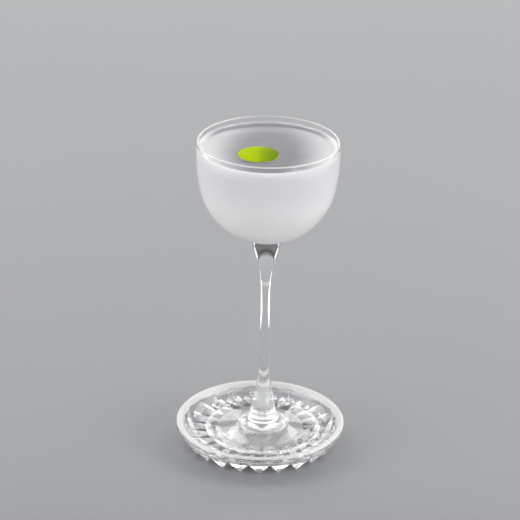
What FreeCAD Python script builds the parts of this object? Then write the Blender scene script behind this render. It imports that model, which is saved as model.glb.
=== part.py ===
"""A daiquiri served up: a small stemmed glass filled almost to its rim, with a disc of lime peel
floating on the drink, standing in a shallow saucer of cut crystal.

Millimetres, +Z up. The origin is the middle of the saucer's underside, on the table.
"""
import FreeCAD, Part
import Sketcher
import math
import os
import re

# Every size that can be set by itself. Millimetres, or degrees where the name says so.
SIZES = {
    # glass, with heights from the plane it stands on
    "glass_height": 158.2,
    "bowl_radius": 35.2,
    "bowl_widest_depth": 8.1,       # from the rim down to the widest part
    "bowl_depth": 52.0,             # from the rim down to the outside of the bottom
    "bowl_side_radius": 75.0,       # curve of the bowl's side, seen from beside
    "wall_thickness": 1.0,
    "base_thickness": 3.0,          # clear glass under the drink
    "lip_round": 0.4,
    "stem_radius": 2.3,
    "neck_curve": 73.0,             # flare of the stem up to the bowl
    "neck_radius": 8.6,             # where that flare meets the bowl
    "ankle_curve": 165.0,           # long flare of the stem down to the foot
    "ankle_height": 48.0,           # where that flare begins
    "instep_curve": 9.0,            # sweep from the stem into the foot
    "foot_radius": 29.3,
    "foot_edge": 1.5,
    "foot_slope_degrees": 9.0,
    "foot_ring": 4.0,               # width of the ring that the foot stands on
    "foot_hollow": 1.2,             # depth of the hollow within that ring
    # drink
    "fill_depth": 4.6,              # from the rim down to the surface
    "meniscus_height": 1.6,         # how far the drink climbs the wall
    "meniscus_curve": 3.0,
    "drink_clearance": 0.1,
    # disc of lime peel
    "lime_radius": 10.3,
    "lime_thickness": 0.9,
    "lime_dome": 0.35,              # rise of the skin in the middle
    "lime_proud": 0.4,              # edge above the surface of the drink
    "lime_left": 4.6,               # middle of the disc from the glass's axis
    "lime_front": 7.1,
    "lime_clearance": 0.1,
    # saucer
    "glass_shift": 1.4,             # the glass stands this far off the saucer's middle
    "foot_clearance": 0.9,          # from the foot to the edge of the saucer's floor
    "floor_height": 5.9,
    "wall_run": 11.5,               # from the edge of the floor out to the widest part
    "wall_flare": 6.0,              # from the teeth out to the widest part
    "saucer_height": 11.5,
    "lip_thickness": 3.5,
    "recess_radius": 22.0,          # plain middle of the underside
    "recess_height": 2.4,
    # mitre cuts under the saucer
    "cut_count": 24,
    "cut_start_radius": 20.5,       # where a cut's bottom line leaves the underside
    "cut_depth": 5.4,               # of a cut at the teeth
    "tooth_land": 0.5,              # width of a tooth where it stands on the table
    "cutter_overlap": 1.0,          # how far the cutter's shape reaches past the saucer
}

# Sizes that follow from those.
FLOOR_RADIUS = "(foot_radius + glass_shift + foot_clearance)"
SAUCER_RADIUS = f"({FLOOR_RADIUS} + wall_run)"
TOOTH_RADIUS = f"({SAUCER_RADIUS} - wall_flare)"
DRINK_LEVEL = "(glass_height - fill_depth)"
LIME_SUNK = "(lime_thickness - lime_proud)"
CUT_SLOPE = f"(cut_depth / ({TOOTH_RADIUS} - cut_start_radius))"
CUT_WIDENING = (f"(({TOOTH_RADIUS} * sin(180 / cut_count) - tooth_land / 2)"
                f" / ({CUT_SLOPE} * ({TOOTH_RADIUS} * cos(180 / cut_count) - cut_start_radius)))")

START, END, CENTRE = 1, 2, 3
H_AXIS, V_AXIS = -1, -2
ORIGIN = (-1, 1)

doc = FreeCAD.newDocument("daiquiri")
sheet = doc.addObject("Spreadsheet::Sheet", "Sizes")
for row, (name, number) in enumerate(SIZES.items(), start=1):
    sheet.set(f"A{row}", name)
    sheet.set(f"B{row}", str(number))
    sheet.setAlias(f"B{row}", name)
doc.recompute()


def formula(words):
    """The words as an expression that reads every size from the sheet."""
    return re.sub(r"[a-z]+(?:_[a-z]+)+", lambda found: "Sizes." + found.group(), words)


def value(words):
    return float(sheet.evalExpression(formula(words)))


def on_circle(centre, radius, degrees):
    angle = math.radians(degrees)
    return (centre[0] + radius * math.cos(angle), centre[1] + radius * math.sin(angle))


def bearing(start, end):
    """Direction from one point to another, in degrees."""
    return math.degrees(math.atan2(end[1] - start[1], end[0] - start[0]))


class Outline:
    """A closed outline in a sketch on one of the body's planes, drawn piece by piece."""

    def __init__(self, body, name, role="XZ_Plane", offset=None):
        self.sketch = body.newObject("Sketcher::SketchObject", name)
        plane = next(part for part in body.Origin.OriginFeatures if part.Role == role)
        self.sketch.AttachmentSupport = [(plane, "")]
        self.sketch.MapMode = "FlatFace"
        if offset:
            self.sketch.setExpression("AttachmentOffset.Base.z", formula(offset))
        self.pieces = []

    def relate(self, kind, *items):
        self.sketch.addConstraint(Sketcher.Constraint(kind, *items))

    def bind(self, words, kind, *items):
        """A dimension that follows the sheet."""
        number = value(words)
        if kind == "Angle":
            number = math.radians(number)
        index = self.sketch.addConstraint(Sketcher.Constraint(kind, *items, number))
        self.sketch.setExpression(f"Constraints[{index}]", formula(words))

    def place(self, point, across=None, up=None):
        """The point's distances from the origin."""
        if across:
            self.bind(across, "DistanceX", *ORIGIN, *point)
        if up:
            self.bind(up, "DistanceY", *ORIGIN, *point)

    def add(self, geometry, ends, smooth):
        number = self.sketch.addGeometry(geometry, False)
        if self.pieces:
            last, _, last_end = self.pieces[-1]
            self.relate("Tangent" if smooth else "Coincident", last, last_end, number, ends[0])
        self.pieces.append((number, *ends))
        return number

    def line(self, start, end, level=None, smooth=False):
        """A straight piece; level is Horizontal or Vertical."""
        segment = Part.LineSegment(FreeCAD.Vector(*start, 0), FreeCAD.Vector(*end, 0))
        number = self.add(segment, (START, END), smooth)
        if level:
            self.relate(level, number)
        return number

    def arc(self, centre, radius, first, last, smooth=False):
        """An arc from one bearing to another, either way round."""
        circle = Part.Circle(FreeCAD.Vector(*centre, 0), FreeCAD.Vector(0, 0, 1), radius)
        low, high = math.radians(min(first, last)), math.radians(max(first, last))
        ends = (START, END) if first < last else (END, START)
        return self.add(Part.ArcOfCircle(circle, low, high), ends, smooth)

    def close(self):
        first, first_end, _ = self.pieces[0]
        last, _, last_end = self.pieces[-1]
        self.relate("Coincident", last, last_end, first, first_end)
        return self.sketch


def turn(body, kind, sketch, name):
    """A full turn of a sketch about the body's axis, added or taken away."""
    feature = body.newObject(f"PartDesign::{kind}", name)
    feature.Profile = sketch
    feature.ReferenceAxis = (sketch, ["V_Axis"])
    feature.Angle = 360.0
    return feature


def must_cut(feature, before):
    """A cut that misses the solid raises no error of its own."""
    doc.recompute()
    if feature.Shape.Volume > before - 1.0:
        raise RuntimeError(f"{feature.Name} takes nothing away")


def new_body(label):
    body = doc.addObject("PartDesign::Body", label.title().replace("_", ""))
    body.Label = label
    return body


def put(body, across=None, along=None, up=None):
    for axis, words in (("x", across), ("y", along), ("z", up)):
        if words:
            body.setExpression(f"Placement.Base.{axis}", formula(words))


def bowl_shape(inset, base):
    """Centres and radii of the two arcs of the bowl, the wall set in and the bottom raised."""
    side_radius = value(f"bowl_side_radius - {inset}")
    widest = value(f"bowl_radius - {inset}")
    depth = value(f"bowl_depth - {base}")
    drop = depth - value("bowl_widest_depth")
    bottom_radius = (2 * widest * side_radius - widest**2 - drop**2) / (2 * (side_radius - drop))
    bottom = (0.0, value("glass_height") - depth + bottom_radius)
    side = (widest - side_radius, value("glass_height - bowl_widest_depth"))
    return bottom, bottom_radius, side, side_radius


def draw_bowl(outline, inset, base, top, first=-90.0):
    """Bottom and side of the bowl, up to the height called top; returns the point reached."""
    bottom, bottom_radius, side, side_radius = bowl_shape(inset, base)
    seam = bearing(side, bottom)
    last = math.degrees(math.asin((value(top) - side[1]) / side_radius))
    below = outline.arc(bottom, bottom_radius, first, seam)
    beside = outline.arc(side, side_radius, seam, last, smooth=True)
    outline.relate("PointOnObject", below, CENTRE, V_AXIS)
    outline.bind(f"bowl_side_radius - {inset}", "Radius", beside)
    outline.place((beside, CENTRE), "bowl_radius - bowl_side_radius",
                  "glass_height - bowl_widest_depth")
    outline.place((beside, END), up=top)
    lowest = outline.sketch.addGeometry(Part.Point(FreeCAD.Vector(0, bottom[1] - bottom_radius, 0)), True)
    outline.relate("PointOnObject", lowest, START, V_AXIS)
    outline.relate("PointOnObject", lowest, START, below)
    outline.place((lowest, START), up=f"glass_height - (bowl_depth - {base})")
    return on_circle(side, side_radius, last)


def draw_foot_and_stem(outline):
    """From the middle of the foot's underside, round its edge and up the stem to the bowl.

    Returns the bearing, from the middle of the bowl's bottom arc, at which the stem ends.
    """
    edge = value("foot_edge / 2")
    slope = value("foot_slope_degrees")
    instep = value("instep_curve")
    ankle = value("ankle_curve")
    stem = value("stem_radius")
    middle_of_edge = (value("foot_radius") - edge, edge)
    top_of_edge = on_circle(middle_of_edge, edge, 90 - slope)

    # The instep's middle lies above the foot's slope, within the circle of the ankle's flare.
    middle_of_ankle = (stem + ankle, value("ankle_height"))
    above = on_circle(top_of_edge, instep, 90 - slope)
    uphill = on_circle((0, 0), 1.0, 180 - slope)
    offset = (above[0] - middle_of_ankle[0], above[1] - middle_of_ankle[1])
    half = offset[0] * uphill[0] + offset[1] * uphill[1]
    reach = math.sqrt(half**2 - offset[0]**2 - offset[1]**2 + (ankle - instep)**2) - half
    middle_of_instep = (above[0] + reach * uphill[0], above[1] + reach * uphill[1])
    lean = 360 + bearing(middle_of_ankle, middle_of_instep)

    # The neck's flare ends on the bowl's bottom.
    bottom, bottom_radius, _, _ = bowl_shape("0", "0")
    reached = value("neck_radius")
    joint = (reached, bottom[1] - math.sqrt(bottom_radius**2 - reached**2))
    neck = value("neck_curve")
    neck_height = joint[1] - math.sqrt(neck**2 - (stem + neck - joint[0])**2)
    middle_of_neck = (stem + neck, neck_height)

    under = outline.line((0, 0), (middle_of_edge[0], 0), "Horizontal")
    rim = outline.arc(middle_of_edge, edge, -90, 90 - slope, smooth=True)
    top = outline.line(top_of_edge, on_circle(middle_of_instep, instep, 270 - slope), smooth=True)
    sweep = outline.arc(middle_of_instep, instep, 270 - slope, lean, smooth=True)
    flare = outline.arc(middle_of_ankle, ankle, lean, 180, smooth=True)
    shaft = outline.line((stem, middle_of_ankle[1]), (stem, neck_height), "Vertical", smooth=True)
    throat = outline.arc(middle_of_neck, neck, 180, bearing(middle_of_neck, joint), smooth=True)

    outline.relate("Coincident", under, START, *ORIGIN)
    outline.bind("foot_edge / 2", "Radius", rim)
    outline.place((rim, CENTRE), "foot_radius - foot_edge / 2")
    outline.bind("180 - foot_slope_degrees", "Angle", top)
    outline.bind("instep_curve", "Radius", sweep)
    outline.bind("ankle_curve", "Radius", flare)
    outline.place((shaft, START), "stem_radius", "ankle_height")
    outline.bind("neck_curve", "Radius", throat)
    outline.place((throat, START), "neck_radius")
    return bearing(bottom, joint)


def level_edges(shape, height):
    """Names of the edges that lie flat at one height."""
    boxes = [edge.BoundBox for edge in shape.Edges]
    return [f"Edge{number}" for number, box in enumerate(boxes, start=1)
            if max(abs(box.ZMin - height), abs(box.ZMax - height)) < 0.001]


def make_glass():
    """Foot, stem and bowl turned in one, hollowed from above and below, with a rounded lip."""
    body = new_body("glass")
    outside = Outline(body, "Outside")
    joint = draw_foot_and_stem(outside)
    lip = draw_bowl(outside, "0", "0", "glass_height", first=joint)
    outside.line(lip, (0, lip[1]), "Horizontal")
    outside.line((0, lip[1]), (0, 0), "Vertical")
    blank = turn(body, "Revolution", outside.close(), "Blank")
    doc.recompute()

    inside = Outline(body, "Inside")
    lip = draw_bowl(inside, "wall_thickness", "base_thickness", "glass_height")
    inside.line(lip, (0, lip[1]), "Horizontal")
    inside.line((0, lip[1]), (0, value("glass_height - bowl_depth + base_thickness")), "Vertical")
    hollow = turn(body, "Groove", inside.close(), "BowlHollow")
    must_cut(hollow, blank.Shape.Volume)

    under = Outline(body, "Underside")
    ring, depth = value("foot_radius - foot_edge / 2 - foot_ring"), value("foot_hollow")
    curve = (ring**2 + depth**2) / (2 * depth)
    middle = (0, depth - curve)
    flat = under.line((0, 0), (ring, 0), "Horizontal")
    dome = under.arc(middle, curve, bearing(middle, (ring, 0)), 90)
    under.line((0, depth), (0, 0), "Vertical")
    under.relate("Coincident", flat, START, *ORIGIN)
    under.relate("PointOnObject", dome, CENTRE, V_AXIS)
    under.place((dome, START), "foot_radius - foot_edge / 2 - foot_ring")
    under.place((dome, END), up="foot_hollow")
    arch = turn(body, "Groove", under.close(), "FootHollow")
    must_cut(arch, hollow.Shape.Volume)

    lip = body.newObject("PartDesign::Fillet", "Lip")
    lip.Base = (arch, level_edges(arch.Shape, value("glass_height")))
    lip.setExpression("Radius", formula("lip_round"))
    body.Tip = lip
    put(body, "glass_shift", up="floor_height")
    return body


def make_drink():
    """The drink as one solid: it fills the bowl, climbs the wall a little and holds the lime."""
    body = new_body("drink")
    wall = "(wall_thickness + drink_clearance)"
    base = "(base_thickness + drink_clearance)"
    level = value(DRINK_LEVEL)
    curve = value("meniscus_curve")
    outline = Outline(body, "Fill")
    edge = draw_bowl(outline, wall, base, f"{DRINK_LEVEL} + meniscus_height")
    climb = curve - value("meniscus_height")
    middle = (edge[0] - math.sqrt(curve**2 - climb**2), level + curve)
    meniscus = outline.arc(middle, curve, bearing(middle, edge), -90)
    surface = outline.line((middle[0], level), (0, level), "Horizontal", smooth=True)
    outline.line((0, level), (0, value(f"glass_height - (bowl_depth - {base})")), "Vertical")
    outline.bind("meniscus_curve", "Radius", meniscus)
    outline.place((surface, START), up=DRINK_LEVEL)
    fill = turn(body, "Revolution", outline.close(), "Fill")
    doc.recompute()

    ring = Outline(body, "LimeOutline", "XY_Plane", DRINK_LEVEL)
    draw_circle(ring, "lime_radius + lime_clearance", "-lime_left", "-lime_front")
    pocket = body.newObject("PartDesign::Pocket", "LimePlace")
    pocket.Profile = ring.sketch
    pocket.setExpression("Length", formula(LIME_SUNK))
    body.Tip = pocket
    must_cut(pocket, fill.Shape.Volume)
    put(body, "glass_shift", up="floor_height")
    return body


def draw_circle(outline, radius, across, along):
    """A circle with its middle at the given distances from the origin."""
    middle = FreeCAD.Vector(value(across), value(along), 0)
    circle = Part.Circle(middle, FreeCAD.Vector(0, 0, 1), value(radius))
    number = outline.sketch.addGeometry(circle, False)
    outline.bind(radius, "Radius", number)
    outline.place((number, CENTRE), across, along)


def make_lime_coin():
    """A disc of peel: flat pith below, skin rising a little to the middle."""
    body = new_body("lime_coin")
    radius, thickness = value("lime_radius"), value("lime_thickness")
    dome = value("lime_dome")
    curve = (radius**2 + dome**2) / (2 * dome)
    middle = (0, thickness + dome - curve)
    outline = Outline(body, "Peel")
    pith = outline.line((0, 0), (radius, 0), "Horizontal")
    outline.line((radius, 0), (radius, thickness), "Vertical")
    skin = outline.arc(middle, curve, bearing(middle, (radius, thickness)), 90)
    outline.line((0, thickness + dome), (0, 0), "Vertical")
    outline.relate("Coincident", pith, START, *ORIGIN)
    outline.relate("PointOnObject", skin, CENTRE, V_AXIS)
    outline.place((skin, START), "lime_radius", "lime_thickness")
    outline.place((skin, END), up="lime_thickness + lime_dome")
    turn(body, "Revolution", outline.close(), "Disc")
    put(body, "glass_shift - lime_left", "-lime_front", f"floor_height + {DRINK_LEVEL} - {LIME_SUNK}")
    return body


def draw_saucer(outline):
    """Half the saucer's section, from the recess below round the lip to the floor."""
    lip = value("lip_thickness / 2")
    recess, rise = value("recess_radius"), value("recess_height")
    tooth = (value(TOOTH_RADIUS), 0.0)
    floor = (value(FLOOR_RADIUS), value("floor_height"))
    middle_of_lip = (value(SAUCER_RADIUS) - lip, value("saucer_height") - lip)
    lean = bearing(tooth, middle_of_lip) - math.degrees(math.asin(lip / math.dist(tooth, middle_of_lip)))
    run, lift = middle_of_lip[0] - floor[0], middle_of_lip[1] - floor[1]
    sweep = (run**2 + lift**2 - lip**2) / (2 * (lip + lift))
    middle_of_sweep = (floor[0], floor[1] + sweep)
    turnover = bearing(middle_of_lip, middle_of_sweep)

    roof = outline.line((0, rise), (recess, rise), "Horizontal")
    step = outline.line((recess, rise), (recess, 0), "Vertical")
    outline.line((recess, 0), tooth, "Horizontal")
    wall = outline.line(tooth, on_circle(middle_of_lip, lip, lean - 90))
    nose = outline.arc(middle_of_lip, lip, lean - 90, turnover, smooth=True)
    hollow = outline.arc(middle_of_sweep, sweep, turnover - 180, -90, smooth=True)
    flat = outline.line(floor, (0, floor[1]), "Horizontal", smooth=True)
    outline.line((0, floor[1]), (0, rise), "Vertical")

    outline.relate("PointOnObject", roof, START, V_AXIS)
    outline.relate("PointOnObject", step, END, H_AXIS)
    outline.place((roof, END), "recess_radius", "recess_height")
    outline.place((wall, START), TOOTH_RADIUS)
    outline.bind("lip_thickness / 2", "Radius", nose)
    outline.place((nose, CENTRE), f"{SAUCER_RADIUS} - lip_thickness / 2",
                  "saucer_height - lip_thickness / 2")
    outline.place((hollow, CENTRE), FLOOR_RADIUS)
    outline.place((flat, START), up="floor_height")


def cutter(body, name, reach, apex):
    """Section of the mitre cutter at one reach from the axis: a V with its point up."""
    height, below = value(apex), value("cutter_overlap")
    half = value(CUT_WIDENING) * (height + below)
    section = Outline(body, name, "YZ_Plane", reach)
    base = section.line((-half, -below), (half, -below))
    right = section.line((half, -below), (0, height))
    section.line((0, height), (-half, -below))
    section.relate("Symmetric", base, START, base, END, V_AXIS)
    section.bind(f"2 * {CUT_WIDENING} * ({apex} + cutter_overlap)", "DistanceX", base, START, base, END)
    section.place((right, START), up="-cutter_overlap")
    section.relate("PointOnObject", right, END, V_AXIS)
    section.place((right, END), up=apex)
    return section.close()


def make_saucer():
    """A turned crystal dish with a sunburst of mitre cuts that leaves a ring of pointed teeth."""
    body = new_body("saucer")
    outline = Outline(body, "Section")
    draw_saucer(outline)
    dish = turn(body, "Revolution", outline.close(), "Dish")
    doc.recompute()

    reach = f"({SAUCER_RADIUS} + cutter_overlap)"
    near = cutter(body, "CutterNear", "cut_start_radius", "0")
    far = cutter(body, "CutterFar", reach, f"{CUT_SLOPE} * ({reach} - cut_start_radius)")
    cut = body.newObject("PartDesign::SubtractiveLoft", "MitreCut")
    cut.Profile = near
    cut.Sections = [far]
    cut.Ruled = True
    must_cut(cut, dish.Shape.Volume)
    burst = body.newObject("PartDesign::PolarPattern", "Sunburst")
    burst.Originals = [cut]
    burst.Axis = (outline.sketch, ["V_Axis"])
    burst.Angle = 360.0
    burst.setExpression("Occurrences", formula("cut_count"))
    body.Tip = burst
    must_cut(burst, cut.Shape.Volume)
    # Half a pitch of turn brings a tooth, not a cut, to each axis.
    body.Placement.Rotation = FreeCAD.Rotation(FreeCAD.Vector(0, 0, 1), 0)
    body.setExpression("Placement.Rotation.Angle", formula("180 / cut_count"))
    return body


bodies = [make_glass(), make_drink(), make_lime_coin(), make_saucer()]
doc.recompute()

for item in doc.Objects:
    if "Invalid" in item.State or "Error" in item.State:
        raise RuntimeError(f"{item.Name} is in the state {item.State}")
for body in bodies:
    if body.Shape.isNull() or not body.Shape.isValid() or len(body.Shape.Solids) != 1:
        raise RuntimeError(f"{body.Label} is not one sound solid")

os.makedirs("parts", exist_ok=True)
for body in bodies:
    body.Shape.exportStep(f"parts/{body.Label}.step")
    print(f"{body.Label}: {body.Shape.Volume:.0f} mm3")
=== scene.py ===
import math

import bmesh
import bpy
from mathutils import Matrix, Vector, noise


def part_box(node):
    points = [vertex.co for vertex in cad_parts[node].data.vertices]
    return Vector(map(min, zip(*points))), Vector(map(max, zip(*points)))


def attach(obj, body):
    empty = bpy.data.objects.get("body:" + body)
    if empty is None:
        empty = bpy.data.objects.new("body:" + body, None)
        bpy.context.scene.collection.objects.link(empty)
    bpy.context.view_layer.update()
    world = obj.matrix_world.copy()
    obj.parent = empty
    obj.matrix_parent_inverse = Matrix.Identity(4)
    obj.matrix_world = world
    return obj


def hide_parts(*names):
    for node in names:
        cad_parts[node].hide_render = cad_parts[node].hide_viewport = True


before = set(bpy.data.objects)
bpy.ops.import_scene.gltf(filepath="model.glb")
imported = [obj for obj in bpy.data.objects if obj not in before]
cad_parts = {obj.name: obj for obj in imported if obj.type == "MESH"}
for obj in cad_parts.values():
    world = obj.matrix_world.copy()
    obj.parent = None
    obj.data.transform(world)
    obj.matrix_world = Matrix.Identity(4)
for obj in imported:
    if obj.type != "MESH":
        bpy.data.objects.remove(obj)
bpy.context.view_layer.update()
collection = bpy.context.scene.collection
weldDistance = 2e-7  # points closer than this become one


# An outline is a list of points, each (distance from the axis, height).

def onCircle(centre, radius, degrees):
    angle = math.radians(degrees)
    return (centre[0] + radius * math.cos(angle), centre[1] + radius * math.sin(angle))


def bearing(start, end):
    return math.degrees(math.atan2(end[1] - start[1], end[0] - start[0]))


def arc(centre, radius, first, last, parts):
    step = (last - first) / parts
    return [onCircle(centre, radius, first + step * i) for i in range(parts + 1)]


def straight(start, end, parts):
    # The points between two ends, without the ends.
    pairs = [(i / parts, 1 - i / parts) for i in range(1, parts)]
    return [(start[0] * b + end[0] * a, start[1] * b + end[1] * a) for a, b in pairs]


def finishMesh(shape, name, place, materials, sharpAngle=35):
    # Welds the seam and the poles, turns the faces outward and marks the real corners.
    bmesh.ops.remove_doubles(shape, verts=shape.verts, dist=weldDistance)
    bmesh.ops.dissolve_degenerate(shape, edges=shape.edges, dist=weldDistance)
    bmesh.ops.recalc_face_normals(shape, faces=shape.faces)
    bmesh.ops.translate(shape, verts=shape.verts, vec=place)
    for face in shape.faces:
        face.smooth = True
    for edge in shape.edges:
        edge.smooth = len(edge.link_faces) < 2 or edge.calc_face_angle(0) < math.radians(sharpAngle)
    mesh = bpy.data.meshes.new(name)
    shape.to_mesh(mesh)
    shape.free()
    piece = bpy.data.objects.new(name, mesh)
    collection.objects.link(piece)
    for material in materials:
        mesh.materials.append(material)
    return piece


def turned(outline, steps):
    # The outline turned once round the vertical axis.
    shape = bmesh.new()
    points = [shape.verts.new((r, 0, h)) for r, h in outline]
    edges = [shape.edges.new(pair) for pair in zip(points, points[1:])]
    bmesh.ops.spin(shape, geom=points + edges, cent=(0, 0, 0), axis=(0, 0, 1), angle=math.tau,
                   steps=steps, use_merge=True)
    bmesh.ops.remove_doubles(shape, verts=shape.verts, dist=weldDistance)
    return shape


class Recipe:
    # A material's node tree, built around one Principled shader.
    def __init__(self, name, **sockets):
        self.material = bpy.data.materials.new(name)
        self.material.use_nodes = True
        self.tree = self.material.node_tree
        self.shader = self.tree.nodes["Principled BSDF"]
        for socket, value in sockets.items():
            self.shader.inputs[socket.replace("_", " ")].default_value = value
        self.coordinates = self.add("TexCoord").outputs["Object"]

    def add(self, kind, inputs=None, **settings):
        made = self.tree.nodes.new("ShaderNode" + kind)
        for name, value in settings.items():
            setattr(made, name, value)
        for socket, value in (inputs or {}).items():
            self.feed(made.inputs[socket], value)
        return made

    def feed(self, socket, value):
        if isinstance(value, bpy.types.NodeSocket):
            self.tree.links.new(value, socket)
        else:
            socket.default_value = value

    def colour(self, value):
        self.feed(self.shader.inputs["Base Color"], value)

    def noise(self, scale, detail=2.0, roughness=0.5):
        inputs = {"Vector": self.coordinates, "Scale": scale, "Detail": detail, "Roughness": roughness}
        return self.add("TexNoise", inputs).outputs["Fac"]

    def math(self, operation, first, second=0.0):
        return self.add("Math", {0: first, 1: second}, operation=operation).outputs[0]

    def ramp(self, value, low, high, first=0.0, last=1.0):
        inputs = {"Value": value, "From Min": low, "From Max": high, "To Min": first, "To Max": last}
        return self.add("MapRange", inputs, interpolation_type="SMOOTHSTEP").outputs[0]

    def mix(self, factor, first, second):
        return self.add("Mix", {0: factor, 6: first, 7: second}, data_type="RGBA").outputs[2]

    def split(self, vector):
        return self.add("SeparateXYZ", {0: vector}).outputs

    def length(self, vector):
        return self.add("VectorMath", {0: vector}, operation="LENGTH").outputs["Value"]

    def moved(self, scale, place):
        # The object's coordinates, scaled and then shifted.
        inputs = {"Vector": self.coordinates, "Scale": scale, "Location": place}
        return self.add("Mapping", inputs).outputs[0]

    def bump(self, height, distance, strength=1.0):
        inputs = {"Height": height, "Distance": distance, "Strength": strength}
        self.feed(self.shader.inputs["Normal"], self.add("Bump", inputs).outputs[0])


# The glass, turned in one from a single outline.
glass = {
    "bowlDepth": 0.0520,
    "widestDepth": 0.0081,
    "sideRadius": 0.0750,
    "wall": 0.0010,
    "base": 0.0030,
    "stemRadius": 0.0023,
    "neckCurve": 0.0730,
    "neckRadius": 0.0086,
    "ankleCurve": 0.1650,
    "ankleHeight": 0.0480,
    "instepCurve": 0.0090,
    "footRadius": 0.0293,
    "footEdge": 0.0015,
    "footSlope": 9.0,
    "footRing": 0.0040,
    "footHollow": 0.0012,
    "ringSag": 0.00015,
    "ringLift": 0.00002,
    "lipBand": 0.0007,
    "ankleReach": 0.0120,
    "ankleStart": 0.0010,
    "ankleTop": 0.0290,
    "ankleFade": 0.0060,
    "colour": (0.985, 0.99, 0.99, 1),
    "rippleScale": 90,
    "rippleDepth": 0.00002,
    # Roughness and clear share of each finish.
    "finishes": {
        "clearGlass": (0.0, 1.0),
        "lipHighlight": (0.12, 0.4),
        "ankleUpper": (0.03, 0.8),
        "ankleLower": (0.06, 0.62),
    },
    "steps": 160,
}
glassLow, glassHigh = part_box("glass")
glassHeight = glassHigh.z - glassLow.z
bowlRadius = (glassHigh.x - glassLow.x) / 2
glassPlace = Vector(((glassLow.x + glassHigh.x) / 2, (glassLow.y + glassHigh.y) / 2, glassLow.z))


def clearGlass(name, roughness, clear):
    recipe = Recipe(name, Base_Color=glass["colour"], Roughness=roughness, IOR=1.5,
                    Transmission_Weight=clear)
    recipe.bump(recipe.noise(glass["rippleScale"], 1.0), glass["rippleDepth"])
    return recipe.material


def bowlArcs(inset, base):
    # Middle and radius of the bowl's bottom arc and of its side arc, set in from the outside.
    radius = bowlRadius - inset
    side = glass["sideRadius"] - inset
    drop = glass["bowlDepth"] - base - glass["widestDepth"]
    bottom = (2 * radius * side - radius**2 - drop**2) / (2 * (side - drop))
    low = (0.0, glassHeight - glass["bowlDepth"] + base + bottom)
    beside = (radius - side, glassHeight - glass["widestDepth"])
    return low, bottom, beside, side


def bowlLine(inset, base, first, top):
    # From a bearing on the bottom arc up the side to a height.
    low, bottom, beside, side = bowlArcs(inset, base)
    seam = bearing(beside, low)
    last = math.degrees(math.asin((top - beside[1]) / side))
    return arc(low, bottom, first, seam, parts=56) + arc(beside, side, seam, last, parts=28)[1:]


def stemLine():
    # From the foot's standing ring round its edge and up the stem to the bowl.
    edge = glass["footEdge"] / 2
    slope = glass["footSlope"]
    instep, ankle, neck = glass["instepCurve"], glass["ankleCurve"], glass["neckCurve"]
    stem = glass["stemRadius"]
    edgeMiddle = (glass["footRadius"] - edge, edge)
    edgeTop = onCircle(edgeMiddle, edge, 90 - slope)
    # The instep's arc touches both the foot's slope and the ankle's arc.
    ankleMiddle = (stem + ankle, glass["ankleHeight"])
    above = onCircle(edgeTop, instep, 90 - slope)
    uphill = onCircle((0, 0), 1.0, 180 - slope)
    offset = (above[0] - ankleMiddle[0], above[1] - ankleMiddle[1])
    half = offset[0] * uphill[0] + offset[1] * uphill[1]
    reach = math.sqrt(half**2 - offset[0]**2 - offset[1]**2 + (ankle - instep)**2) - half
    instepMiddle = (above[0] + reach * uphill[0], above[1] + reach * uphill[1])
    lean = 360 + bearing(ankleMiddle, instepMiddle)
    # The neck's arc leaves the upright stem and ends on the bowl's bottom arc.
    low, bottom, _, _ = bowlArcs(0, 0)
    joint = (glass["neckRadius"], low[1] - math.sqrt(bottom**2 - glass["neckRadius"]**2))
    neckHeight = joint[1] - math.sqrt(neck**2 - (stem + neck - joint[0])**2)
    neckMiddle = (stem + neck, neckHeight)
    slopeEnd = onCircle(instepMiddle, instep, 270 - slope)
    line = arc(edgeMiddle, edge, -90, 90 - slope, parts=12)
    line += straight(edgeTop, slopeEnd, parts=8)
    line += arc(instepMiddle, instep, 270 - slope, lean, parts=16)
    line += arc(ankleMiddle, ankle, lean, 180, parts=28)[1:]
    line += straight((stem, glass["ankleHeight"]), (stem, neckHeight), parts=8)
    line += arc(neckMiddle, neck, 180, bearing(neckMiddle, joint), parts=24)
    return line, bearing(low, joint)


def footUnderside(outside):
    # The shallow hollow, then the rounded ring that the foot stands on.
    ring = glass["footRadius"] - glass["footEdge"] / 2 - glass["footRing"]
    hollow = glass["footHollow"]
    curve = (ring**2 + hollow**2) / (2 * hollow)
    middle = (0, hollow - curve)
    sag = glass["ringSag"]
    half = (outside - ring) / 2
    bend = (half**2 + sag**2) / (2 * sag)
    turn = math.degrees(math.asin(half / bend))
    ringMiddle = (ring + half, bend + glass["ringLift"])
    line = arc(middle, curve, 90, bearing(middle, (ring, 0)), parts=16)[:-1]
    return line + arc(ringMiddle, bend, -90 - turn, -90 + turn, parts=10)


def glassOutline():
    stem, joint = stemLine()
    outline = footUnderside(stem[0][0]) + stem[1:]
    lip = glass["wall"] / 2
    outside = bowlLine(0, 0, joint, glassHeight - lip)[1:]
    inside = bowlLine(glass["wall"], glass["base"], -90, glassHeight - lip)
    lipMiddle = ((outside[-1][0] + inside[-1][0]) / 2, glassHeight - lip)
    lipRadius = (outside[-1][0] - inside[-1][0]) / 2
    outline += outside + arc(lipMiddle, lipRadius, 0, 180, parts=14)[1:-1] + inside[::-1]
    return [(r, min(h, glassHeight)) for r, h in outline]


def glassFinish(spot):
    # Number of the finish at a spot: the lip's very top and the stem's lower end are less clear; the lip's
    # white share is a painted highlight.
    if spot.z > glassHeight - glass["lipBand"]:
        return 1
    ankleFoot = glass["footHollow"] + glass["ankleStart"]
    if spot.xy.length < glass["ankleReach"] and ankleFoot < spot.z < glass["ankleTop"]:
        return 2 if spot.z > glass["ankleTop"] - glass["ankleFade"] else 3
    return 0


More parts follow.
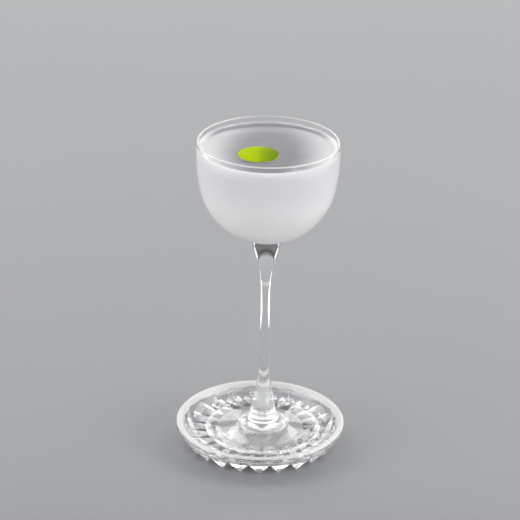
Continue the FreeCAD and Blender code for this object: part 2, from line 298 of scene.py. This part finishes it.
def makeGlass():
    shape = turned(glassOutline(), glass["steps"])
    for face in shape.faces:
        face.material_index = glassFinish(face.calc_center_median())
    materials = [clearGlass(name, *finish) for name, finish in glass["finishes"].items()]
    piece = finishMesh(shape, "stemmedGlass", glassPlace, materials)
    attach(piece, "root")
    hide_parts("glass")


makeGlass()
print("glass done")


# The lime disc, floating a little proud of the drink.
lime = {
    "pith": 0.00072,
    "edgeRound": 0.00012,
    "edgeLean": 0.00025,
    "wobble": 0.00012,
    "wobbleScale": 1.6,
    "wobbleHeight": 3.1,
    "dome": 0.00035,
    # The skin's two colours: a painted shade makes the right side darker.
    "skinLitAndShaded": ((0.62, 0.84, 0.001, 1), (0.22, 0.36, 0.001, 1)),
    "poreScale": 1100.0,
    "poreDepth": 0.00008,
    "pithColours": ((0.66, 0.78, 0.22, 1), (0.78, 0.84, 0.42, 1)),
    "fibreScale": 900,
    "fibreDepth": 0.00005,
    "steps": 144,
}
limeLow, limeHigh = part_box("lime_coin")
limeRadius = (limeHigh.x - limeLow.x) / 2
limeEdge = limeHigh.z - limeLow.z - lime["dome"]
limePlace = Vector(((limeLow.x + limeHigh.x) / 2, (limeLow.y + limeHigh.y) / 2, limeLow.z))


def limeSkin():
    # Painted shade: darker towards the right, as shading from a light on the left, with the peel's small
    # pores.
    recipe = Recipe("limeSkin", Roughness=0.3, IOR=1.4, Specular_IOR_Level=0.01, Subsurface_Weight=0.25,
                    Subsurface_Radius=(0.6, 1.0, 0.15), Subsurface_Scale=0.0015)
    across = recipe.ramp(recipe.split(recipe.coordinates)[0], limePlace.x - limeRadius,
                         limePlace.x + limeRadius)
    wander = recipe.math("ADD", across, recipe.math("MULTIPLY", recipe.noise(160, 3.0), 0.3))
    recipe.colour(recipe.mix(recipe.ramp(wander, 0.3, 1.25), *lime["skinLitAndShaded"]))
    cells = recipe.add("TexVoronoi", {"Vector": recipe.coordinates, "Scale": lime["poreScale"]})
    recipe.bump(recipe.ramp(cells.outputs["Distance"], 0.05, 0.4), lime["poreDepth"], 0.7)
    return recipe.material


def limePith():
    recipe = Recipe("limePith", Roughness=0.5, IOR=1.4, Subsurface_Weight=0.5,
                    Subsurface_Radius=(1.0, 1.0, 0.6), Subsurface_Scale=0.001)
    fibres = recipe.ramp(recipe.noise(lime["fibreScale"], 3.0), 0.3, 0.7)
    recipe.colour(recipe.mix(fibres, *lime["pithColours"]))
    recipe.bump(fibres, lime["fibreDepth"], 0.5)
    return recipe.material


def limeOutline():
    r = lime["edgeRound"]
    curve = (limeRadius**2 + lime["dome"]**2) / (2 * lime["dome"])
    middle = (0, limeEdge + lime["dome"] - curve)
    lean = lime["edgeLean"]
    domeFoot = (limeRadius - lean - 1.6 * r, limeEdge)
    outline = [(0, 0)] + straight((0, 0), (limeRadius - r, 0), parts=6)
    outline += arc((limeRadius - r, r), r, -90, 0, parts=4)
    outline += straight((limeRadius, r), (limeRadius - lean, limeEdge - r), parts=4)
    outline += arc((limeRadius - lean - r, limeEdge - r), r, 10, 85, parts=5)
    outline += arc(middle, curve, bearing(middle, domeFoot), 90, parts=30)
    return outline


def makeLime():
    shape = turned(limeOutline(), lime["steps"])
    for v in shape.verts:
        # A hand-cut outline: never quite round, and only ever inside the full circle.
        angle = math.atan2(v.co.y, v.co.x)
        spot = Vector((math.cos(angle), math.sin(angle), lime["wobbleHeight"]))
        inward = lime["wobble"] * (1 + noise.noise(spot * lime["wobbleScale"])) / limeRadius
        v.co.x *= 1 - inward
        v.co.y *= 1 - inward
    for face in shape.faces:
        face.material_index = 1 if face.calc_center_median().z < lime["pith"] else 0
    piece = finishMesh(shape, "limeCoin", limePlace, [limeSkin(), limePith()], sharpAngle=60)
    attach(piece, "root")
    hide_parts("lime_coin")


makeLime()
print("lime done")


# The drink, up to a surface that climbs the wall a little.
drink = {
    "intoWall": 0.00005,
    "meniscusCurve": 0.0030,
    "meniscusHeight": 0.0016,
    "climb": 0.00003,
    "climbReach": 0.0011,
    "underLime": 0.0003,
    "underLimeReach": 0.0006,
    "surfaceBand": 0.0001,
    "ovalShrink": 0.53,
    "ovalShift": 0.19,
    # Painted highlight at the top's sides, painted shade over the top, and painted shade along the back
    # wall.
    "sideHighlightWander": 0.10,
    "sideHighlightSpan": (0.36, 0.98),
    "sideHighlightColour": (0.985, 0.97, 0.985, 1),
    "topShadeColours": ((0.325, 0.32, 0.345, 1), (0.36, 0.355, 0.38, 1)),
    "backShadeReach": (0.90, 0.975),
    "backShadeSpread": (0.25, 0.65),
    "backShadeColour": (0.24, 0.24, 0.26, 1),
    "fadeStart": 0.010,
    "fadeEnd": 0.008,
    "fadeWander": 0.008,
    # Painted light: the body's colour is lighter at the bottom.
    "litBottomColour": (0.99, 0.975, 0.985, 1),
    "highColour": (0.78, 0.77, 0.79, 1),
    "steps": 240,
}
drinkLow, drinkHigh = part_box("drink")
contactHeight = drinkHigh.z - glassPlace.z


def cloudyDrink(name, specular, roughness):
    return Recipe(name, Roughness=roughness, IOR=1.34, Specular_IOR_Level=specular, Subsurface_Weight=1.0,
                  Subsurface_Radius=(1.0, 0.95, 1.0), Subsurface_Scale=0.012)


def drinkSurface(middle, radius):
    # Painted light and shade on the top: a painted highlight towards the two sides, a painted shade over
    # the rest with uneven cloudiness, and a darker painted shade along the wall at the back.
    recipe = cloudyDrink("drinkSurface", 0.5, 0.22)
    shrink, shift = drink["ovalShrink"], drink["ovalShift"]
    x, y = -middle.x / radius, -middle.y / radius
    oval = recipe.moved((1 / radius, shrink / radius, 0), (x, shrink * (shift + y), 0))
    wander = recipe.math("MULTIPLY", recipe.noise(60, 3.0), drink["sideHighlightWander"])
    sideHighlight = recipe.ramp(recipe.math("ADD", recipe.length(oval), wander), *drink["sideHighlightSpan"])
    shadedCloud = recipe.mix(recipe.ramp(recipe.noise(40, 3.0), 0.35, 0.7), *drink["topShadeColours"])
    circle = recipe.moved((1 / radius, 1 / radius, 0), (x, y, 0))
    edge = recipe.ramp(recipe.length(circle), *drink["backShadeReach"])
    back = recipe.ramp(recipe.split(circle)[1], *drink["backShadeSpread"])
    backShade = recipe.math("MULTIPLY", edge, back)
    recipe.colour(recipe.mix(backShade, recipe.mix(sideHighlight, shadedCloud, drink["sideHighlightColour"]), drink["backShadeColour"]))
    return recipe.material


def drinkBody():
    # Painted light: lighter towards the bottom, which the lamps reach less.
    recipe = cloudyDrink("drinkBody", 0.0, 0.3)
    wander = recipe.math("MULTIPLY", recipe.noise(35, 3.0), drink["fadeWander"])
    height = recipe.math("ADD", recipe.split(recipe.coordinates)[2], wander)
    fade = recipe.ramp(height, drinkLow.z + drink["fadeStart"], drinkHigh.z + drink["fadeEnd"])
    recipe.colour(recipe.mix(fade, drink["litBottomColour"], drink["highColour"]))
    return recipe.material


def drinkOutline(level):
    inset = glass["wall"] - drink["intoWall"]
    base = glass["base"] - drink["intoWall"]
    curve = drink["meniscusCurve"]
    side = bowlLine(inset, base, -90, contactHeight)
    edge = side[-1]
    middle = (edge[0] - math.sqrt(curve**2 - (curve - drink["meniscusHeight"])**2), level + curve)
    outline = side + arc(middle, curve, bearing(middle, edge), -90, parts=14)[1:]
    outline += straight((middle[0], level), (0, level), parts=90) + [(0, level)]
    return outline, edge[0]


def makeDrink():
    level = contactHeight - drink["meniscusHeight"]
    outline, radius = drinkOutline(level)
    shape = turned(outline, drink["steps"])
    centre = limePlace - glassPlace
    for v in shape.verts:
        if v.co.z < level - drink["surfaceBand"]:
            continue
        # The surface turns up a little where it meets the lime, and dips under it.
        away = math.dist(v.co.xy, centre.xy) - limeRadius
        if away > 0:
            v.co.z += drink["climb"] * math.exp(-away / drink["climbReach"])
        else:
            under = min(1, -away / drink["underLimeReach"])
            v.co.z += drink["climb"] - (drink["climb"] + drink["underLime"]) * under
    bmesh.ops.recalc_face_normals(shape, faces=shape.faces)
    for face in shape.faces:
        face.material_index = 0 if face.normal.z > 0.1 else 1  # what faces up is the surface
    materials = [drinkSurface(glassPlace, radius), drinkBody()]
    piece = finishMesh(shape, "cloudyDrink", glassPlace, materials, sharpAngle=25)
    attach(piece, "root")
    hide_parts("drink")


makeDrink()
print("drink done")


# The crystal saucer: a turned dish with mitre cuts all round its underside.
saucer = {
    "teeth": 24,
    "toothRadius": 0.0371,
    "lipRadius": 0.00175,
    "floorRadius": 0.0316,
    "floorHeight": 0.0059,
    "recessRadius": 0.0220,
    "recessHeight": 0.0024,
    "cutStart": 0.0205,
    "cutDepth": 0.0054,
    "land": 0.0005,
    "edgeRound": 0.00012,
    "roundedAngle": 14,
    "sweepParts": 16,
    "rimRows": (8, 25),
    "scallop": 0.085,
    "scallopRow": 3,
    "columns": 8,
    "weld": 2e-6,
    "flankDown": 0.3,
    "flankLean": 0.2,
    "colour": (0.985, 0.985, 0.99, 1),
    # Roughness, clear share and silvery share of each finish.
    "finishes": {
        "polishedCrystal": (0.0, 1.0, 0.0),
        "frostedCrystal": (0.3, 0.5, 0.5),
        "cutFlanks": (0.15, 1.0, 0.75),
        # The satin rim's white share is a painted highlight on the band.
        "satinRimHighlight": (0.2, 0.27, 0.0),
    },
    # Scale and depth of the fine unevenness.
    "polishedGrain": (140, 0.00002),
    "satinGrain": (180, 0.000005),
}
saucerLow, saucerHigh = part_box("saucer")
saucerRadius = min(saucerHigh.x, saucerHigh.y, -saucerLow.x, -saucerLow.y)
halfPitch = math.pi / saucer["teeth"]
cutSlope = saucer["cutDepth"] / (saucer["toothRadius"] - saucer["cutStart"])
cutWidening = ((saucer["toothRadius"] * math.sin(halfPitch) - saucer["land"] / 2)
               / (cutSlope * (saucer["toothRadius"] * math.cos(halfPitch) - saucer["cutStart"])))


def cutCrystal(name, roughness, clear, silver):
    # The same crystal: polished, satin, or with a silvery share where its cuts throw the light back. The
    # satin rim's white share is a painted highlight.
    recipe = Recipe(name, Base_Color=saucer["colour"], Roughness=roughness, IOR=1.56,
                    Transmission_Weight=clear, Metallic=silver)
    scale, depth = saucer["satinGrain"] if roughness else saucer["polishedGrain"]
    grain = recipe.noise(scale, 2.0)
    if roughness:
        uneven = recipe.ramp(grain, 0.3, 0.7, roughness * 0.8, roughness * 1.2)
        recipe.feed(recipe.shader.inputs["Roughness"], uneven)
    recipe.bump(grain, depth)
    return recipe.material


def saucerSection(pull):
    # The upper part of the section: lip, sweep and floor. The pull draws the rows of the sweep outward.
    lip = saucer["lipRadius"]
    tooth = (saucer["toothRadius"], 0.0)
    floor = (saucer["floorRadius"], saucer["floorHeight"])
    lipMiddle = (saucerRadius - lip, saucerHigh.z - lip)
    lean = bearing(tooth, lipMiddle) - math.degrees(math.asin(lip / math.dist(tooth, lipMiddle)))
    run, rise = lipMiddle[0] - floor[0], lipMiddle[1] - floor[1]
    sweep = (run**2 + rise**2 - lip**2) / (2 * (lip + rise))
    sweepMiddle = (floor[0], floor[1] + sweep)
    turnover = bearing(lipMiddle, sweepMiddle)
    top = arc(lipMiddle, lip, lean - 90, turnover, parts=22)
    parts = saucer["sweepParts"]
    rim = saucer["scallopRow"] / parts
    shares = [i / parts for i in range(1, parts + 1)]
    shares = [t - saucer["scallop"] * pull * max(0, 1 - abs(t / rim - 1)) for t in shares]
    top += [onCircle(sweepMiddle, sweep, turnover - 180 + (90 - turnover) * t) for t in shares]
    top += straight(floor, (0, floor[1]), parts=8) + [(0, floor[1])]
    return top, math.tan(math.radians(lean))


def cutHeight(radius, off):
    # Height of a cut's flank at a distance from the middle, off its own bearing by that angle.
    return cutSlope * (radius * math.cos(off) - saucer["cutStart"]) - radius * math.sin(off) / cutWidening


def creaseRadius(off):
    # Where a cut's flank comes up out of the flat underside, or far outside where it never does.
    fall = cutSlope * math.cos(off) - math.sin(off) / cutWidening
    return cutSlope * saucer["cutStart"] / fall if fall > 0 else 1.0


def offAt(radius):
    # Bearing off the cut's own at which its edge crosses a radius on the underside, found by halving.
    low, high = 0.0, halfPitch
    for _ in range(40):
        middle = (low + high) / 2
        low, high = (middle, high) if creaseRadius(middle) < radius else (low, middle)
    return low


def saucerUnderside(off, wallSlope):
    # From the middle of the recess along the underside to where the flank runs out in the sloping wall.
    tooth, recess, roof = saucer["toothRadius"], saucer["recessRadius"], saucer["recessHeight"]
    crease = min(max(creaseRadius(off), recess), tooth)
    wallFoot = ((tooth * wallSlope - cutSlope * saucer["cutStart"])
                / (wallSlope - cutSlope * math.cos(off) + math.sin(off) / cutWidening))
    wallFoot = max(wallFoot, tooth)
    line = [(0, roof), (recess * 0.5, roof), (recess, roof)]
    line += [(radius, max(0, cutHeight(radius, off))) for radius in (recess, crease)]
    return line + [(wallFoot, (wallFoot - tooth) * wallSlope)]


def saucerColumns():
    # Bearings and outlines over half a cut, from its deepest line to the middle of the land.
    first, second = offAt(saucer["recessRadius"]), offAt(saucer["toothRadius"])
    steps = saucer["columns"] - 3
    offs = [0.0, first / 2]
    offs += [first + (second - first) * i / steps for i in range(steps + 1)] + [halfPitch]
    wallSlope = saucerSection(0)[1]
    lines = []
    for off in offs:
        under = saucerUnderside(off, wallSlope)
        top = saucerSection((1 - off / halfPitch)**2)[0]
        lines.append(under + straight(under[-1], top[0], parts=3) + top)
    return offs, lines


def saucerFinish(face):
    # Number of a face's finish: its row gave it 0 or 3, the recess's roof is 1 and the cuts' flanks are 2.
    spot = face.calc_center_median()
    out = spot.xy.length
    if spot.z < saucer["recessHeight"] + 1e-6 and out < saucer["recessRadius"]:
        return 1
    lean = abs(face.normal.cross(spot.normalized()).z)
    facesDown = face.normal.z < -saucer["flankDown"]
    if facesDown and lean > saucer["flankLean"] and out > saucer["recessRadius"]:
        return 2
    return face.material_index


def makeSaucer():
    offs, lines = saucerColumns()
    half = saucer["columns"]
    columns = 2 * saucer["teeth"] * half
    rows = len(lines[0]) - 1
    underRows = len(lines[0]) - len(saucerSection(0)[0])

    def place(column, row):
        # Half a cut and its mirror image, again and again.
        pitch, part = divmod(column, 2 * half)
        turn = (2 * pitch + 1) * halfPitch
        if part > half:
            part = 2 * half - part
            turn = turn - offs[part] + 2 * halfPitch
        else:
            turn += offs[part]
        r, h = lines[part][row]
        return Vector((r * math.cos(turn), r * math.sin(turn), h))

    # A flat grid, one unit across, is wrapped round: its columns are bearings and its rows the outline.
    shape = bmesh.new()
    bmesh.ops.create_grid(shape, x_segments=columns, y_segments=rows, size=0.5)
    # The rim band's rows get finish 3, whose white share is a painted highlight.
    rimFirst, rimLast = saucer["rimRows"]
    for face in shape.faces:
        row = (face.calc_center_median().y + 0.5) * rows - underRows
        face.material_index = 3 if rimFirst < row < rimLast else 0
    for v in shape.verts:
        v.co = place(round((v.co.x + 0.5) * columns), round((v.co.y + 0.5) * rows))
    bmesh.ops.remove_doubles(shape, verts=shape.verts, dist=saucer["weld"])
    bmesh.ops.dissolve_degenerate(shape, edges=shape.edges, dist=saucer["weld"])
    bmesh.ops.recalc_face_normals(shape, faces=shape.faces)
    for face in shape.faces:
        face.material_index = saucerFinish(face)
    limit = math.radians(saucer["roundedAngle"])
    sharp = [edge for edge in shape.edges if len(edge.link_faces) == 2 and edge.calc_face_angle(0) > limit]
    bmesh.ops.bevel(shape, geom=sharp, offset=saucer["edgeRound"], segments=2, profile=0.5,
                    affect="EDGES", clamp_overlap=True, material=-1)
    materials = [cutCrystal(name, *finish) for name, finish in saucer["finishes"].items()]
    piece = finishMesh(shape, "crystalSaucer", Vector((0, 0, 0)), materials, sharpAngle=20)
    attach(piece, "root")
    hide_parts("saucer")


makeSaucer()
print("saucer done")


# Floor, light and camera.
stage = {
    "floorColours": ((0.385, 0.39, 0.40, 1), (0.40, 0.405, 0.415, 1)),
    "floorSize": 6.0,
    "floorDrop": 0.00005,
    "worldColour": (0.15, 0.152, 0.156, 1),
}


def makeFloor():
    shape = bmesh.new()
    bmesh.ops.create_grid(shape, x_segments=2, y_segments=2, size=stage["floorSize"])
    recipe = Recipe("paleFloor", Roughness=0.8)
    recipe.colour(recipe.mix(recipe.noise(3.0), *stage["floorColours"]))
    piece = finishMesh(shape, "floor", Vector((0, 0, -stage["floorDrop"])), [recipe.material])


# Place, aim, width, height and watts of each lamp, and the kinds of ray that don't see it.
lamps = {
    "leftBack": ((-0.68, 0.98, 1.18), (0, 0.15, 0.1), 1.15, 0.75, 6.6),
    "rightBack": ((0.80, 0.92, 1.18), (0, 0.15, 0.1), 1.15, 0.75, 6.6),
    "highBack": ((0, 0.62, 1.20), (0, 0, 0.0), 0.9, 0.35, 1.2),
    "lowBack": ((0, 1.2, 0.46), (0, 0, 0.1), 2.4, 0.26, 5.0),
    "lowLeftBack": ((-1.25, 0.75, 0.2), (0, 0, 0.1), 0.6, 0.24, 1.1),
    "lowRightBack": ((1.25, 0.75, 0.2), (0, 0, 0.1), 0.6, 0.24, 1.1),
    "highLeft": ((-0.70, -0.17, 0.82), (0, 0, 0.0), 0.9, 0.6, 4.0, ["diffuse"]),
    "highRight": ((0.70, -0.17, 0.82), (0, 0, 0.0), 0.9, 0.6, 4.0, ["diffuse"]),
    "left": ((-1.0, -0.05, 0.34), (0, 0, 0.1), 0.8, 0.62, 4.2),
    "right": ((1.0, -0.10, 0.32), (0, 0, 0.1), 0.8, 0.62, 5.4),
    "frontLeft": ((-1.35, -1.15, 0.34), (0, 0, 0.12), 1.5, 0.66, 7.9),
    "frontRight": ((1.35, -1.15, 0.34), (0, 0, 0.12), 1.5, 0.66, 8.8),
    "frontCard": ((0.05, -0.42, 0.004), (0.05, -0.42, 1.0), 0.9, 0.3, 3.1, ["glossy"]),
    "leftCard": ((-0.317, 0.148, 0.008), (-0.335, 0.156, 1.0), 0.14, 0.5, 0.34, ["diffuse", "glossy"]),
    "rightCard": ((0.317, 0.148, 0.008), (0.335, 0.156, 1.0), 0.14, 0.5, 0.22, ["diffuse", "glossy"]),
}


def makeLamp(name, place, aim, width, height, power, unseenBy=()):
    data = bpy.data.lights.new(name, "AREA")
    data.shape = "RECTANGLE"
    data.size = width
    data.size_y = height
    data.energy = power
    lamp = bpy.data.objects.new(name, data)
    collection.objects.link(lamp)
    lamp.location = place
    lamp.visible_camera = False
    for ray in unseenBy:
        setattr(lamp, "visible_" + ray, False)
    lamp.rotation_euler = (Vector(aim) - Vector(place)).to_track_quat("-Z", "Y").to_euler()


def makeWorld():
    world = bpy.data.worlds.new("studio")
    world.use_nodes = True
    bpy.context.scene.world = world
    background = world.node_tree.nodes["Background"]
    background.inputs["Color"].default_value = stage["worldColour"]
    background.inputs["Strength"].default_value = 1.0


view = {"lens": 159.23, "back": 1.04042, "up": 0.57303, "pitch": 24.43, "roll": 1.1, "yaw": -0.09}


def makeCamera():
    data = bpy.data.cameras.new("camera")
    data.sensor_width = 36
    data.lens = view["lens"]
    camera = bpy.data.objects.new("camera", data)
    collection.objects.link(camera)
    pitch, roll, yaw = (math.radians(view[key]) for key in ("pitch", "roll", "yaw"))
    forward = Vector((math.sin(yaw) * math.cos(pitch), math.cos(yaw) * math.cos(pitch), -math.sin(pitch)))
    right = forward.cross(Vector((0, 0, 1))).normalized()
    up = right.cross(forward)
    across = right * math.cos(roll) + up * math.sin(roll)
    upward = up * math.cos(roll) - right * math.sin(roll)
    camera.matrix_world = Matrix((across, upward, -forward)).transposed().to_4x4()
    camera.location = (0, -view["back"], view["up"])
    bpy.context.scene.camera = camera


makeFloor()
makeWorld()
for name, lamp in lamps.items():
    makeLamp(name, *lamp)
makeCamera()
bpy.context.scene.view_settings.view_transform = "Standard"
# Light turns many times inside cut crystal before it comes out.
bpy.context.scene.cycles.max_bounces = 32
bpy.context.scene.cycles.glossy_bounces = 24
bpy.context.scene.cycles.transmission_bounces = 24
print("stage done")
